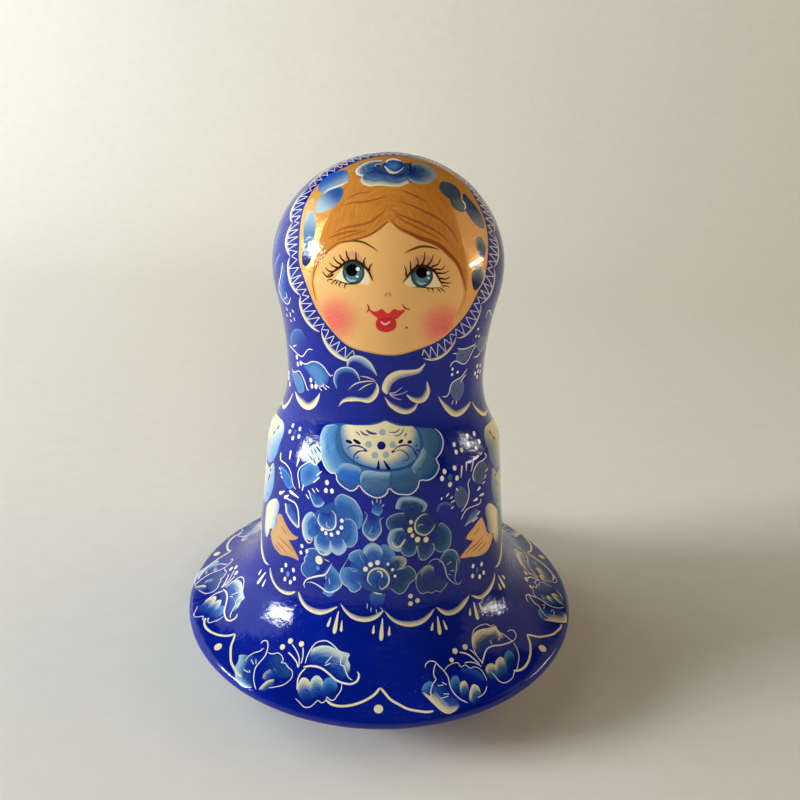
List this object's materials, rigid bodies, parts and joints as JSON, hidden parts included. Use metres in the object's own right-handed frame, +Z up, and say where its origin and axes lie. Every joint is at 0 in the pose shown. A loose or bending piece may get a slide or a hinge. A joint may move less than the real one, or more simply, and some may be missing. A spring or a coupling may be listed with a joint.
{
  "type": "roly-poly doll",
  "caption": "Turned wooden roly-poly doll with a headscarf, apron and wide flared skirt on a rounded weighted base, with a swinging chime striker inside.",
  "frame": {"origin": "on the table under the doll's axis, at the middle of the small flat under the base", "axes": "+Z up along the turning axis, the face looks along -Y, +X is to the right in the front view"},
  "size_m": [0.12, 0.12, 0.15],
  "materials": {
    "lacquered_body": "hand painted, glossy clear lacquer",
    "lacquered_base": "painted, glossy clear lacquer",
    "cast_weight": "as cast, faced on top",
    "zinc_screws": "zinc plated",
    "brass_plate": "stamped sheet, tarnished",
    "strip_steel": "rolled strip",
    "brass_turned": "turned",
    "bright_steel": "drawn bright"
  },
  "bodies": {
    "doll": {"body_shell": "lacquered_body", "base_bowl": "lacquered_base", "ballast_weight": "cast_weight", "ballast_screws": "zinc_screws", "chime_plate": "brass_plate", "plate_spacers": "brass_plate", "plate_screws": "zinc_screws", "chime_rod_1": "bright_steel", "chime_rod_2": "bright_steel", "chime_rod_3": "bright_steel", "chime_rod_4": "bright_steel", "chime_rod_5": "bright_steel", "chime_rod_6": "bright_steel", "chime_rod_7": "bright_steel", "chime_rod_8": "bright_steel", "hanger_bridge": "strip_steel", "bridge_screws": "zinc_screws", "swivel_washer": "brass_turned"},
    "swivel": {"swivel_stud": "brass_turned", "swivel_pin": "bright_steel"},
    "striker": {"striker_stem": "bright_steel", "striker_ball": "brass_turned", "striker_nut": "zinc_screws"}
  },
  "joints": [
    {"name": "hanger_swivel", "type": "hinge", "parent": "doll", "child": "swivel", "pos_m": [0, 0, 0.0685], "axis": [0, 0, 1], "continuous": true},
    {"name": "striker_swing", "type": "hinge", "parent": "swivel", "child": "striker", "pos_m": [0, 0, 0.0625], "axis": [1, 0, 0], "range_deg": [-19.5, 19.5]}
  ]
}
